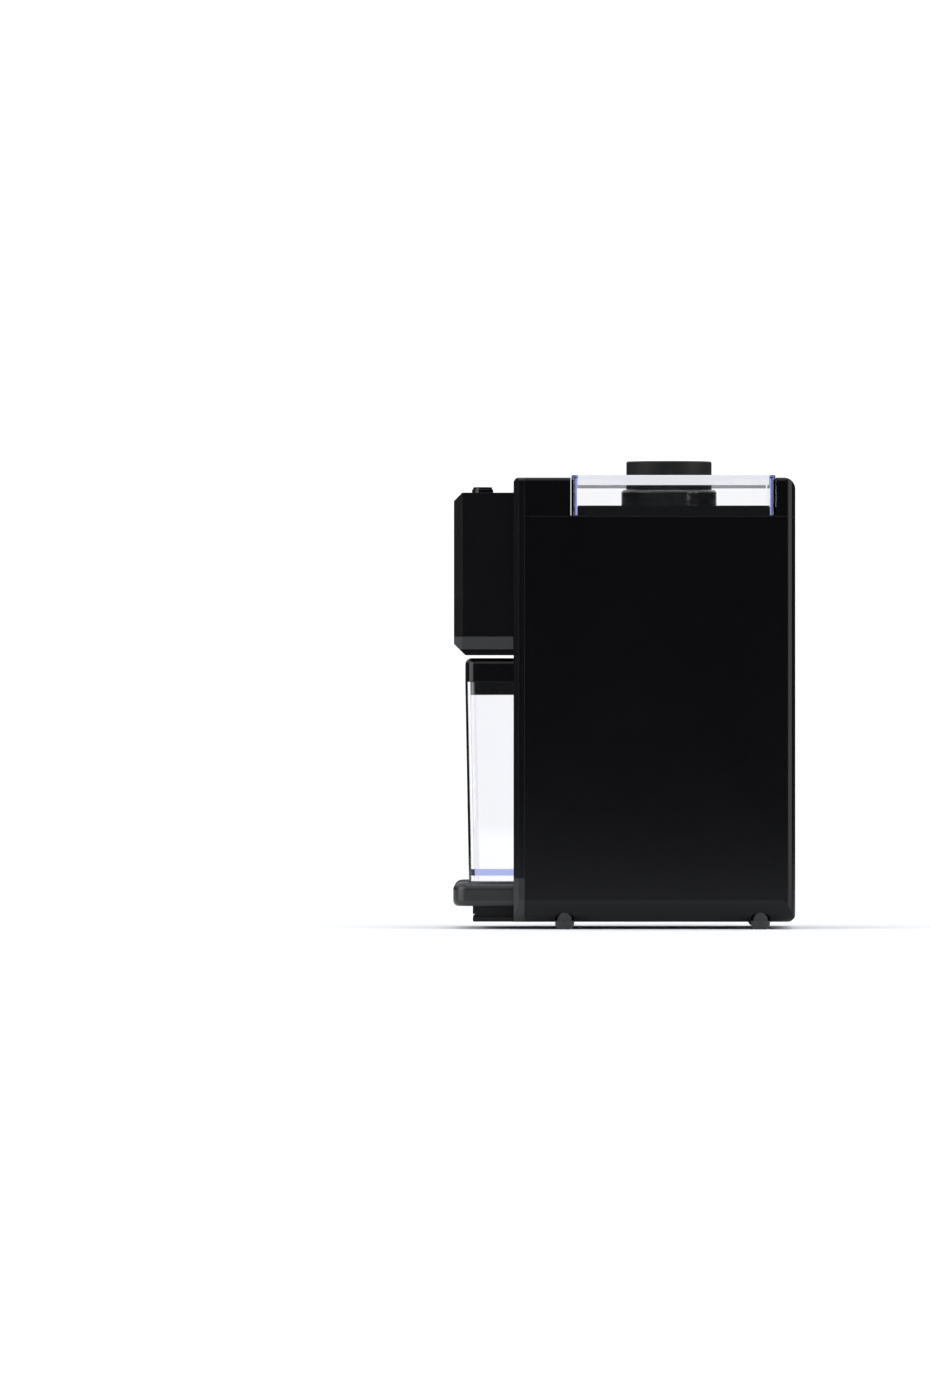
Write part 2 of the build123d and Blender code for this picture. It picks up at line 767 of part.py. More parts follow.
# ---- Container ----
def container_outline(inset, z_low, z_high, low_inset, high_inset):
    """A tapering block with rounded upright edges."""
    def outline(extra):
        width = 2 * (container_x - inset - extra)
        depth = container_depth - 2 * (inset + extra)
        middle = (container_front_y + container_back_y) / 2
        return Pos(0, middle) * RectangleRounded(width, depth, container_round - inset)
    return loft([Pos(0, 0, z_low) * outline(low_inset), Pos(0, 0, z_high) * outline(high_inset)])


def container():
    """A clear box with a raised floor, whose walls draw in towards the bottom."""
    foot_top_z = container_base + container_foot_rim
    floor_top = foot_top_z + container_floor
    body = container_outline(0, container_base, container_top, container_taper, 0)
    body -= container_outline(container_wall, floor_top, container_top, container_taper, 0)
    foot = container_outline(container_wall, container_base, foot_top_z, container_taper, container_taper)
    return body - foot


def container_lid():
    """A cap with a skirt that plugs the container, and a funnel that the coffee falls in through."""
    z = (container_top, container_lid_top)
    cap = container_outline(0, *z, 0, 0)
    cap = fillet(cap.faces().sort_by(Axis.Z)[-1].edges(), container_lid_round)
    skirt_inset = container_wall + container_skirt_gap
    cap -= container_outline(skirt_inset + container_lid_wall, z[0], z[1] - wall, 0, 0)
    skirt_z = (container_top - container_skirt_depth, container_top)
    skirt = container_outline(skirt_inset, *skirt_z, container_skirt_draft, 0)
    skirt -= container_outline(skirt_inset + container_lid_wall, *skirt_z, 0, 0)
    funnel = cone_frustum(inlet_r, inlet_r + inlet_flare, (z[1] - wall, z[1]), 0, inlet_y)
    return cap + skirt - funnel


# ---- Head and controls ----
def head_screw_places():
    x = head_x - head_screw_margin
    levels = (bay_roof + head_screw_inset, head_top - head_screw_inset)
    return [(sx, z) for sx in (-x, x) for z in levels]


def head_plan(side_inset, front_inset):
    """The head's outline seen from above, with chamfered front corners."""
    back = front_y + past
    depth = back - head_front_y - front_inset
    plan = Pos(0, back - depth / 2) * Rectangle(2 * (head_x - side_inset), depth)
    return chamfer(plan.vertices().group_by(Axis.Y)[0], head_chamfer)


def head_form(inset):
    """The head's outer form drawn in by inset: a box whose lower band leans in sideways to an upright rim."""
    rim_top_z = bay_roof + head_rim
    levels = (bay_roof + inset, rim_top_z, rim_top_z + head_taper_height, head_top - inset)
    upper, lower = head_plan(inset, inset), head_plan(inset + head_taper_side, inset)
    form = Pos(0, 0, levels[2]) * extrude(upper, levels[3] - levels[2])
    form += loft([Pos(0, 0, levels[1]) * lower, Pos(0, 0, levels[2]) * upper])
    form += Pos(0, 0, levels[0]) * extrude(lower, levels[1] - levels[0])
    front = head_front_y + inset
    profile = Polyline(
        (front_y, levels[0]),
        (front + head_front_cut, levels[0]),
        (front, levels[0] + head_front_cut),
        (front, levels[3] - head_chamfer),
        (front + head_chamfer, levels[3]),
        (front_y, levels[3]),
        close=True,
    )
    return form & extrude(Plane.YZ * make_face(profile), head_x, both=True)


def head_cover():
    """The hollow head, open towards the body, with the dial's recess and the screws' bosses."""
    outer = head_form(0)
    mouth_x = head_x - head_taper_side - wall
    mouth = span((-mouth_x, mouth_x), (front_y - 2 * wall, front_y), (bay_roof + wall, head_top - wall))
    head = outer - head_form(wall) - mouth
    recess_back = head_front_y + dial_recess
    front_in = head_front_y + wall
    head += rod_y(dial_r + dial_recess_gap + wall, (front_in, recess_back + wall), 0, dial_z)
    head -= rod_y(dial_r + dial_recess_gap, (head_front_y - past, recess_back), 0, dial_z)
    head -= rod_y(dial_ring_outer(), (head_front_y - past, head_front_y + dial_ring_thick), 0, dial_z)
    head -= rod_y(dial_shaft_r + running_gap, (head_front_y, board_y), 0, dial_z)
    head -= disc(button_r + button_gap, (head_top - 2 * wall, head_top + past), 0, button_y)
    for x, z in head_screw_places():
        head += rod_y(boss_r, (front_in, front_y), x, z) & outer
        head -= rod_y(screw_r, (front_y - case_screw_length, front_y), x, z)
    for x, z in board_screw_places():
        head += rod_y(board_standoff_r, (head_front_y + wall / 2, board_y), x, z)
        head -= rod_y(screw_r, (board_y - small_screw_length, board_y), x, z)
    return head


def dial_ring_outer():
    return dial_r + dial_recess_gap + dial_ring_width


def dial_ring():
    y = (head_front_y, head_front_y + dial_ring_thick)
    return rod_y(dial_ring_outer(), y, 0, dial_z) - rod_y(dial_r + dial_recess_gap, y, 0, dial_z)


def cup_dial():
    """The quantity dial, sunk in the head's front, with its shaft into the potentiometer."""
    back = head_front_y + dial_recess - rest_gap
    front = back - dial_thick
    dial = rod_y(dial_r, (front, back), 0, dial_z)
    dial = chamfer(dial.faces().sort_by(Axis.Y)[0].edges(), dial_bevel)
    reach = dial_r - dial_grip_inset
    grip_x = (-dial_grip_width / 2, dial_grip_width / 2)
    grip = span(grip_x, (front - dial_grip, front), (dial_z - reach, dial_z + reach))
    grip = fillet(grip.edges().filter_by(Axis.Y), dial_grip_round)
    shaft_end = board_y - pot_floor - pot_floor / 2
    return dial + grip + rod_y(dial_shaft_r, (back, shaft_end), 0, dial_z)


def board_screw_places():
    x = board_half_width - board_hole_inset
    low = board_bottom() + board_hole_inset
    high = board_bottom() + board_height - board_hole_inset
    return [(sx, z) for sx in (-x, x) for z in (low, high)]


def board_bottom():
    return dial_z - board_height / 2 - board_drop


def timer_board():
    """The circuit board with its relay behind, and its transformer and capacitor in front."""
    y = (board_y, board_y + board_thick)
    low = board_bottom()
    board = span((-board_half_width, board_half_width), y, (low, low + board_height))
    for x, z in board_screw_places():
        board -= rod_y(screw_r + screw_clear, (y[0] - past, y[1] + past), x, z)
    edge = board_half_width - part_inset
    part_z = low + part_rise
    board += span((-edge, relay[0] - edge), (y[1], y[1] + relay[1]), (part_z, part_z + relay[2]))
    core_z = (part_z, part_z + transformer[2])
    board += span((edge - transformer[0], edge), (y[0] - transformer[1], y[0]), core_z)
    capacitor_x = capacitor_r - edge
    return board + rod_y(capacitor_r, (y[0] - capacitor_length, y[0]), capacitor_x, part_z + capacitor_r)


def potentiometer():
    front = board_y - pot_depth
    body = rod_y(pot_r, (front, board_y), 0, dial_z)
    neck = rod_y(pot_neck_r, (front - pot_neck, front), 0, dial_z)
    bore = rod_y(dial_shaft_r + running_gap, (front - pot_neck - past, board_y - pot_floor), 0, dial_z)
    return body + neck - bore


def button_levels():
    """Heights of the button: underside of its flange, and the guide's top and bottom."""
    flange_bottom = head_top - wall - button_gap - button_flange
    guide_top = flange_bottom - button_spring_room
    return flange_bottom, guide_top, guide_top - guide_thick


def start_button():
    flange_bottom = button_levels()[0]
    top = head_top + button_rise
    tier_z = top - button_tier
    cap = disc(button_r, (flange_bottom, tier_z), 0, button_y)
    cap += disc(button_tier_r, (tier_z, top), 0, button_y)
    cap = chamfer(cap.faces().sort_by(Axis.Z)[-1].edges(), button_bevel)
    cap += disc(button_r + button_edge, (flange_bottom, flange_bottom + button_flange), 0, button_y)
    return cap + disc(stem_r, (flange_bottom - stem_length, flange_bottom), 0, button_y)


def button_spring():
    flange_bottom, guide_top, _ = button_levels()
    low, high = guide_top + spring_wire_r, flange_bottom - spring_wire_r - 2 * running_gap
    path = Helix((high - low) / spring_turns, high - low, spring_r)
    section = Plane(path @ 0, z_dir=path % 0) * Circle(spring_wire_r)
    return Pos(0, button_y, low) * sweep(section, path)


def button_guide():
    """The bracket under the head's top that guides the stem and seats the spring."""
    _, top, bottom = button_levels()
    y = (button_y - guide_half_depth, button_y + guide_half_depth)
    guide = span((-guide_half_width, guide_half_width), y, (bottom, top))
    for sign in (-1, 1):
        leg = sorted((sign * (guide_half_width - liner_wall), sign * guide_half_width))
        guide += span(leg, y, (bottom, head_top - wall))
    return guide - disc(stem_r + running_gap, (bottom - past, top + past), 0, button_y)


def start_switch():
    actuator_top = button_levels()[0] - stem_length - button_travel - button_gap
    length, thick, height = microswitch
    plunger_length, plunger_thick, proud = actuator
    body_top_z = actuator_top - proud
    middle_y = board_y - thick / 2
    body = span((-length / 2, length / 2), (board_y - thick, board_y), (body_top_z - height, body_top_z))
    plunger_x = (-plunger_length / 2, plunger_length / 2)
    plunger_y = (middle_y - plunger_thick / 2, middle_y + plunger_thick / 2)
    return body + span(plunger_x, plunger_y, (body_top_z, actuator_top))


# ---- Container interlock ----
def pin_place():
    return interlock_x, container_lid_top - container_lid_height / 2


def pin_boss_back():
    return bay_back_y + interlock_boss


def pin_end():
    return bay_back_y + interlock_reach


def interlock_pin():
    """The pin that the container's lid pushes back when it is home."""
    x, z = pin_place()
    collar_y = (pin_boss_back() + rest_gap, pin_boss_back() + rest_gap + interlock_collar)
    pin = rod_y(stem_r, (container_back_y + rest_gap, pin_end()), x, z)
    return pin + rod_y(stem_r + screw_r, collar_y, x, z)


def interlock_switch_front():
    return pin_end() + interlock_travel + rest_gap + actuator[2]


def interlock_switch():
    """A microswitch on a bracket behind the bay, which the pin works."""
    x, z = pin_place()
    length, thick, height = microswitch
    plunger_length, plunger_thick, proud = actuator
    front = interlock_switch_front()
    body = span((x - length / 2, x + length / 2), (front, front + height), (z - thick / 2, z + thick / 2))
    plunger_x = (x - plunger_length / 2, x + plunger_length / 2)
    plunger_z = (z - plunger_thick / 2, z + plunger_thick / 2)
    return body + span(plunger_x, (front - proud, front), plunger_z)


def interlock_bracket():
    """An angle of sheet metal from the bay's rear wall, with the switch on its arm."""
    x, z = pin_place()
    length, thick, height = microswitch
    front = bay_back_y + liner_wall
    top = z - thick / 2
    across = (x - length / 2, x + length / 2)
    arm = span(across, (front, interlock_switch_front() + height), (top - bracket_sheet, top))
    arm += span(across, (front, front + bracket_sheet), (top - bracket_foot, top))
    return arm - rod_y(boss_r + rest_gap, (bay_back_y, pin_end() + interlock_travel + past), x, z)


# ---- Hopper ----
def hopper_basin():
    """The black tray of the hopper, with a funnel that leads the beans to the bell's windows."""
    hole_r = bell_r + bell_play
    plate = span((-basin_x, basin_x), (basin_front_y, basin_rear_y), (deck_top, rim_top))
    plate = fillet(plate.edges().filter_by(Axis.Z), basin_round)
    basin = plate + cone_frustum(hole_r, funnel_r, (funnel_bottom - funnel_wall, funnel_top - funnel_wall))
    basin += disc(funnel_r, (funnel_top - funnel_wall - past / 5, funnel_top))
    basin += disc(lip_r, (lip_bottom, funnel_bottom))
    basin += ring(lip_r, lip_r - skirt_thick, (lip_bottom - skirt_depth, lip_bottom + past))
    inner_x = basin_x - basin_wall
    inner_y = (basin_front_y + basin_wall, basin_rear_y - basin_wall)
    inside = span((-inner_x, inner_x), inner_y, (funnel_top, rim_top + past))
    inside = fillet(inside.edges().filter_by(Axis.Z), basin_inner_round)
    inside += cone_frustum(hole_r + past / 10, funnel_r, (funnel_bottom, funnel_top))
    return basin - inside - disc(hole_r, (0, funnel_top))


def hopper_lid():
    """The clear cover: a top plate with walls all round and a collared hole for the knob."""
    z = (deck_top + rest_gap, lid_top)
    lid = span((-side_x, side_x), (lid_front_y, lid_rear_y), z)
    lid = fillet(lid.edges().filter_by(Axis.Z), lid_round)
    lid = fillet(lid.faces().sort_by(Axis.Z)[-1].edges(), lid_edge_round)
    inner_x = side_x - lid_wall
    inner_y = (lid_front_y + lid_end_wall, lid_rear_y - lid_end_wall)
    lid -= span((-inner_x, inner_x), inner_y, (z[0], z[1] - lid_wall))
    hole_r = knob_r + knob_hole_gap
    lid += disc(hole_r + lid_collar_wall, (lid_top - lid_collar_depth, lid_top - lid_wall))
    proud, length, height = lid_catch
    catch_z = (z[0] + past, z[0] + past + height)
    for sign in (-1, 1):
        catch_x = sorted((sign * (inner_x - proud), sign * inner_x))
        for y in (lid_front_y + lid_catch_inset, lid_rear_y - lid_catch_inset):
            lid += span(catch_x, (y - length / 2, y + length / 2), catch_z)
    return lid - disc(hole_r, (0, lid_top + past))


def grind_knob():
    """The knob, with a notch in its top that shows the setting."""
    top = bell_shoulder + knob_height
    knob = disc(knob_r, (bell_shoulder, top))
    knob = fillet(knob.faces().sort_by(Axis.Z)[-1].edges(), knob_round)
    width, length, depth = knob_mark
    mark_y = axis_y - knob_r + knob_mark_inset
    knob -= span((-width / 2, width / 2), (mark_y, mark_y + length), (top - depth, top + past))
    return knob - disc(screw_r, (0, bell_shoulder + knob_hole_depth))


def adjuster_bell():
    """The fluted bell that the knob turns. Beans pass in through its windows."""
    inner_r = bell_r - bell_wall
    top_bottom = bell_shoulder - bell_top
    bell = ring(bell_r, inner_r, (bell_bottom, bell_shoulder - bell_top / 2))
    bell += disc(bell_r, (top_bottom, bell_shoulder))
    bell = fillet(bell.faces().sort_by(Axis.Z)[-1].edges(), bell_round)
    bell += ring(bell_flange_r, inner_r, (bell_bottom, bell_bottom + bell_flange))
    foot_z, half_top, half_foot = funnel_top + flute_sill, flute_top_width / 2, flute_foot_width / 2
    flute = Polyline(
        (-half_foot, foot_z),
        (half_foot, foot_z),
        (half_top, top_bottom),
        (-half_top, top_bottom),
        close=True,
    )
    cut = extrude(Plane.XZ * make_face(flute), flute_depth * 3)
    bell -= around(Pos(0, axis_y - bell_r + flute_depth, 0) * cut, flute_count, start=180 / flute_count)
    sill = funnel_bottom + window_sill
    window_y = (axis_y - bell_r - past, axis_y - inner_r + bell_wall)
    window = span((-window_width / 2, window_width / 2), window_y, (sill, sill + window_height))
    bell -= around(window, flute_count)
    return bell - disc(screw_r + screw_clear, (top_bottom - past, bell_shoulder + past))


def knob_screw():
    return screw(0, axis_y, bell_shoulder - bell_top, bell_top + knob_hole_depth - past, 1)


# ---- Burrs ----
def radial_grooves(bore, face_z, up):
    """Slanted cutting grooves across a burr's face."""
    length = burr_r + past
    groove = Rot(up * tooth_lean, 0, 0) * Box(length, tooth_width, tooth_depth * 2)
    groove = Pos(length / 2 + bore - past, -tooth_offset, 0) * groove
    return around(Pos(0, axis_y, face_z) * Rot(0, 0, tooth_sweep) * groove, burr_teeth)


def burr_screw_circle(radius, z):
    """Three holes or heads on the burr screws' circle."""
    return around(disc(radius, z, burr_screw_pcr, axis_y), 3, start=30)


def burr(bore, z, face_z, up):
    """A grooved ring with three sunk screws."""
    seat = sorted((face_z, face_z + up * (screw_head + screw_sink)))
    plate = ring(burr_r, bore, z) - radial_grooves(bore, face_z, up)
    plate -= burr_screw_circle(screw_head_r + screw_clear, seat)
    return plate - burr_screw_circle(screw_r + screw_clear, z)


def upper_burr():
    z = (upper_burr_bottom, carrier_bottom)
    return burr(upper_burr_bore, z, z[0], 1)


def lower_burr():
    z = (impeller_top, lower_burr_top)
    return burr(lower_burr_bore, z, z[1], -1)


def burr_screws(face_z, direction):
    seat = face_z + direction * (screw_head + screw_sink)
    one = screw(burr_screw_pcr, axis_y, seat, burr_screw_length, direction)
    return group([around(one, 3, start=30)])


def upper_burr_screws():
    return burr_screws(upper_burr_bottom, 1)


def lower_burr_screws():
    return burr_screws(lower_burr_top, -1)


def burr_carrier():
    """Holds the upper burr. Three keys stop it turning, and the collar takes the bell's thread."""
    carrier = disc(chamber_r - carrier_gap, (carrier_bottom, carrier_top))
    key_y = (axis_y + chamber_r - key_reach, axis_y + chamber_r + key_reach)
    key = span((-key_width / 2, key_width / 2), key_y, (carrier_bottom, carrier_top))
    carrier += around(key, 3)
    carrier += disc(collar_r, (carrier_top, collar_top))
    carrier -= cone_frustum(upper_burr_bore, carrier_throat_r, (carrier_bottom, collar_top))
    return carrier - burr_screw_circle(screw_r, (carrier_bottom, carrier_bottom + burr_tap_depth))


def impeller():
    """Carries the lower burr and sweeps the ground coffee into the outlet."""
    plate = disc(impeller_r, (impeller_bottom, impeller_top))
    paddle_x = (burr_r + paddle_inset, impeller_r)
    paddle_y = (axis_y - paddle_thick / 2, axis_y + paddle_thick / 2)
    paddle = span(paddle_x, paddle_y, (impeller_bottom, impeller_top + paddle_height))
    plate += around(paddle, paddle_count)
    plate += disc(drive_shaft_r + impeller_thick, (impeller_bottom - impeller_boss, impeller_bottom))
    plate -= disc(thread_r, (0, impeller_top + past))
    return plate - burr_screw_circle(screw_r, (impeller_bottom, impeller_top))


def shaft_nut():
    nut = extrude(Pos(0, axis_y, impeller_top) * RegularPolygon(nut_r, 6, major_radius=False), nut_height)
    return nut - disc(thread_r, (impeller_top, impeller_top + nut_height))


def grind_chamber():
    """The cup round the burrs, with keyways for the carrier and a neck for the ground coffee."""
    cup = disc(chamber_outer_r, (chamber_bottom, chamber_rim))
    neck_x = outlet_half_width + duct_wall
    neck_z = (chamber_bottom, cup_floor + outlet_height + duct_wall)
    cup += span((-neck_x, neck_x), (neck_front_y, axis_y - chamber_r), neck_z)
    cup -= disc(chamber_r, (cup_floor, chamber_rim))
    outlet_y = (neck_front_y - past, axis_y - chamber_r + 2 * outlet_cut)
    cup -= span((-outlet_half_width, outlet_half_width), outlet_y, (cup_floor, cup_floor + outlet_height))
    slot_half = key_width / 2 + carrier_gap
    slot_y = (axis_y + chamber_r - key_reach, axis_y + chamber_r + key_reach + carrier_gap)
    slot = span((-slot_half, slot_half), slot_y, (carrier_bottom - carrier_gap, chamber_rim))
    cup -= around(slot, 3)
    for x, y in chamber_screw_places():
        cup -= disc(screw_r, (chamber_bottom, chamber_bottom + chamber_tap_depth), x, y)
    return cup - disc(seal_r, (0, cup_floor))


def chamber_screw_places():
    radius = chamber_r - chamber_screw_inset
    turns = [math.radians(angle) for angle in (30, 150, 270)]
    return [(radius * math.cos(turn), axis_y + radius * math.sin(turn)) for turn in turns]


def chamber_seal():
    return ring(lip_r - skirt_thick, bell_flange_r + 2 * bell_gap, (chamber_rim, lip_bottom))


def coffee_chute():
    """The sloping duct from the chamber's outlet down to the hole in the bay's roof."""
    bottom, top = cup_floor, cup_floor + outlet_height
    front, back = inlet_y - outlet_half_width, inlet_y + outlet_half_width
    level_y = neck_front_y - chute_run
    shoulder, heel = liner_top + chute_drop_height, liner_top + neck_reach
    inner = [
        (neck_front_y + past, bottom),
        (neck_front_y + past, top),
        (level_y, top),
        (front, shoulder),
        (front, liner_top - past),
        (back, liner_top - past),
        (back, heel),
        (neck_front_y, bottom),
    ]
    outer = [
        (neck_front_y, bottom - duct_wall),
        (neck_front_y, top + duct_wall),
        (level_y, top + duct_wall),
        (front - duct_wall, shoulder),
        (front - duct_wall, liner_top),
        (back + duct_wall, liner_top),
        (back + duct_wall, heel),
    ]
    outside = make_face(Polyline(*outer, close=True))
    inside = make_face(Polyline(*inner, close=True))
    duct = extrude(Plane.YZ * outside, outlet_half_width + duct_wall, both=True)
    return duct - extrude(Plane.YZ * inside, outlet_half_width, both=True)


# ---- Drive ----
def spur_gear(teeth, height, bore):
    """Straight teeth with leaning flanks, centred on the origin, one tooth on the +X axis."""
    pitch_r = gear_module * teeth / 2
    tip_r, root_r = pitch_r + addendum * gear_module, pitch_r - dedendum * gear_module
    tooth_at_pitch = math.pi * gear_module * tooth_share
    points = []
    for tooth in range(teeth):
        middle = 2 * math.pi * tooth / teeth
        for radius, side in ((root_r, -1), (tip_r, -1), (tip_r, 1), (root_r, 1)):
            half = (tooth_at_pitch / 2 + flank_run * (pitch_r - radius)) / radius
            points.append((radius * math.cos(middle + side * half), radius * math.sin(middle + side * half)))
    blank = extrude(make_face(Polyline(*points, close=True)), height)
    return blank - Pos(0, 0, height / 2) * Cylinder(bore, height)


def drive_gear():
    gear_top = gear_bottom + gear_thick
    gear = Pos(0, axis_y, gear_bottom) * spur_gear(gear_teeth, gear_thick, drive_shaft_r)
    gear += ring(gear_hub_r, drive_shaft_r, (gear_bottom - gear_hub_rise, gear_top + gear_hub_rise))
    rim_r = gear_module * gear_teeth / 2 - gear_rim
    for z in ((gear_bottom, gear_bottom + gear_recess), (gear_top - gear_recess, gear_top)):
        gear -= ring(rim_r, gear_hub_r, z)
    return gear


def motor_pinion():
    """The steel pinion, turned so that its teeth meet the gear's gaps."""
    pinion = spur_gear(pinion_teeth, gear_thick + 2 * pinion_extra, motor_shaft_r)
    return Pos(0, motor_y, gear_bottom - pinion_extra) * Rot(0, 0, 180 / pinion_teeth - 90) * pinion


def clip_levels():
    top = bracket_bottom - shaft_overhang / 2
    return top - clip_thick, top


def drive_shaft():
    """The shaft from the bracket up to the impeller, with a groove for its clip and a threaded end."""
    step_z = impeller_bottom - impeller_boss
    shaft = disc(drive_shaft_r, (bracket_bottom - shaft_overhang, step_z))
    shaft += disc(thread_r, (step_z, impeller_top + shaft_thread))
    return shaft - ring(drive_shaft_r, drive_shaft_r - clip_groove, clip_levels())


def shaft_clip():
    clip = ring(drive_shaft_r + clip_wall, drive_shaft_r - clip_groove, clip_levels())
    mouth = drive_shaft_r / 2
    return clip - span((-mouth, mouth), (axis_y - bush_r - past, axis_y), clip_levels())


def shaft_bushes():
    """The two bronze bushes that the drive shaft runs in."""
    levels = ((chassis_bottom, chamber_bottom), (bracket_bottom - past, bracket_top))
    return group([ring(bush_r, drive_shaft_r + running_gap, z) for z in levels])


def shaft_seal():
    return ring(seal_r, drive_shaft_r + running_gap, (chamber_bottom, cup_floor))


def chassis_plate():
    """The plate on four posts that carries the chamber above and the gear bracket below."""
    z = (chassis_bottom, chamber_bottom)
    edge_x = post_x + plate_margin
    plate = span((-edge_x, edge_x), (axis_y - chamber_r + past, post_ys[1] + plate_margin), z)
    plate = fillet(plate.edges().filter_by(Axis.Z), boss_r)
    plate -= disc(bush_r, z)
    holes = [(x, y) for x in (-post_x, post_x) for y in post_ys]
    for x, y in holes + chamber_screw_places() + pillar_places():
        plate -= disc(screw_r + screw_clear, z, x, y)
    return plate


def pillar_places():
    front_y_place, rear_y_place = axis_y - post_setback + pillar_shift, motor_y + post_rear_reach
    front_row = [(-pillar_x, front_y_place), (pillar_x, front_y_place)]
    return front_row + [(-pillar_rear_x, rear_y_place), (pillar_rear_x, rear_y_place)]


def gear_bracket():
    """Hangs the motor and the lower bush below the gear, on four pillars from the chassis plate."""
    z = (bracket_bottom, bracket_top)
    edge_x = pillar_x + boss_r + past
    plate = span((-edge_x, edge_x), (bracket_front_y, motor_y + bracket_rear_reach), z)
    plate = fillet(plate.edges().filter_by(Axis.Z), boss_r)
    plate += disc(bush_r + wall, (bracket_bottom - past, bracket_top))
    plate -= disc(bush_r, (bracket_bottom - past, bracket_top))
    plate -= disc(motor_boss_r, z, 0, motor_y)
    for x, y in pillar_places():
        plate += disc(boss_r, (bracket_bottom, chassis_bottom), x, y)
        plate -= disc(screw_r, (chassis_bottom - tapped_depth, chassis_bottom), x, y)
    for x, y in motor_screw_places():
        plate -= disc(screw_r + screw_clear, z, x, y)
    for x in (-post_x, post_x):
        for y in post_ys:
            plate -= disc(post_r + past, z, x, y)
    return plate


def motor_screw_places():
    return [(-motor_screw_x, motor_y), (motor_screw_x, motor_y)]


def frame_posts():
    posts = []
    for x in (-post_x, post_x):
        for y in post_ys:
            post = disc(post_r, (base_top - post_socket_depth, chassis_bottom), x, y)
            posts.append(post - disc(screw_r, (chassis_bottom - tapped_depth, chassis_bottom), x, y))
    return group(posts)


def motor_can():
    """The motor's drawn steel body, closed at the top."""
    inner_top = bracket_bottom - motor_can_top
    can = disc(motor_r, (motor_can_bottom, bracket_bottom), 0, motor_y)
    can -= disc(motor_r - motor_can_wall, (motor_can_bottom, inner_top), 0, motor_y)
    can -= disc(motor_bearing_r, (motor_can_bottom, bracket_bottom), 0, motor_y)
    for x, y in motor_screw_places():
        can -= disc(screw_r, (inner_top, bracket_bottom), x, y)
    return can - motor_vents((inner_top - past, bracket_bottom))


def motor_vents(z):
    """Four air holes around the motor's axis."""
    outer = motor_y + motor_r - vent_inset
    vent = span((-vent_width / 2, vent_width / 2), (outer - vent_length, outer), z)
    return around(vent, 4, 0, motor_y, start=45)


def brush_levels():
    return motor_cap_bottom + motor_floor + holder_wall, motor_can_bottom - past - holder_wall


def motor_end_cap():
    """The moulded lower end of the motor, with the lower bearing's seat and the brush holders."""
    floor_top = motor_cap_bottom + motor_floor
    seat_z = (floor_top - bearing_length, floor_top)
    cap = disc(motor_r, (motor_cap_bottom, motor_can_bottom), 0, motor_y)
    cap -= disc(motor_r - 2 * motor_can_wall, (floor_top, motor_can_bottom), 0, motor_y)
    cap += disc(motor_bearing_r + motor_can_top, seat_z, 0, motor_y)
    cap -= disc(motor_bearing_r, seat_z, 0, motor_y)
    holder_y = (motor_y - brush_width / 2 - motor_can_top, motor_y + brush_width / 2 + motor_can_top)
    for sign in (-1, 1):
        holder_x = sorted((sign * (commutator_r + gear_hub_rise * 3), sign * (motor_r - motor_can_top)))
        cap += span(holder_x, holder_y, (floor_top, motor_can_bottom - past))
    slot_x = motor_r - motor_can_top
    cap -= span((-slot_x, slot_x), (motor_y - brush_width / 2, motor_y + brush_width / 2), brush_levels())
    return cap - motor_vents((motor_cap_bottom - past, floor_top + past))


def motor_brushes():
    blocks = []
    for sign in (-1, 1):
        x = sorted((sign * (commutator_r - past), sign * (motor_r - brush_inset)))
        block = span(x, (motor_y - brush_width / 2, motor_y + brush_width / 2), brush_levels())
        blocks.append(block - disc(commutator_r + running_gap, (0, body_top), 0, motor_y))
    return group(blocks)


def motor_bearings():
    floor_top = motor_cap_bottom + motor_floor
    levels = (
        (bracket_bottom - bearing_length, bracket_bottom + bearing_proud),
        (floor_top - bearing_length, floor_top),
    )
    return group([ring(motor_bearing_r, motor_shaft_r + running_gap, z, 0, motor_y) for z in levels])


def motor_magnets():
    """Two curved magnets inside the can, on either side of the armature."""
    z = (armature_bottom - past, armature_bottom + armature_length + past)
    sleeve = ring(motor_r - motor_can_wall, magnet_inner_r, z, 0, motor_y)
    gap = span((-motor_r, motor_r), (motor_y - vent_inset, motor_y + vent_inset), z)
    return group([sleeve - gap])


def motor_shaft():
    return disc(motor_shaft_r, (fan_bottom, gear_bottom + gear_thick + shaft_proud), 0, motor_y)


def motor_armature():
    """The slotted steel core of the rotor."""
    z = (armature_bottom, armature_bottom + armature_length)
    floor_y = motor_y + slot_floor_r
    core = ring(armature_r, motor_shaft_r, z, 0, motor_y)
    slot = span((-slot_body / 2, slot_body / 2), (floor_y, motor_y + armature_r - slot_mouth), z)
    mouth = span((-slot_mouth / 2, slot_mouth / 2), (floor_y, motor_y + armature_r + past), z)
    return core - around(slot + mouth, armature_slots, 0, motor_y)


def rotor_windings():
    """The copper end turns above and below the armature."""
    low, high = armature_bottom, armature_bottom + armature_length
    outer_r = armature_r - slot_mouth
    levels = ((low - winding_length, low), (high, high + winding_length))
    rings = [ring(outer_r, motor_shaft_r, z, 0, motor_y) for z in levels]
    outer_edges = [turn.edges().filter_by(GeomType.CIRCLE).group_by(SortBy.RADIUS)[-1] for turn in rings]
    return group([fillet(edges, winding_round) for edges in outer_edges])


def commutator():
    low = brush_levels()[0] - holder_wall / 2
    return ring(commutator_r, motor_shaft_r, (low, motor_can_bottom + commutator_reach), 0, motor_y)


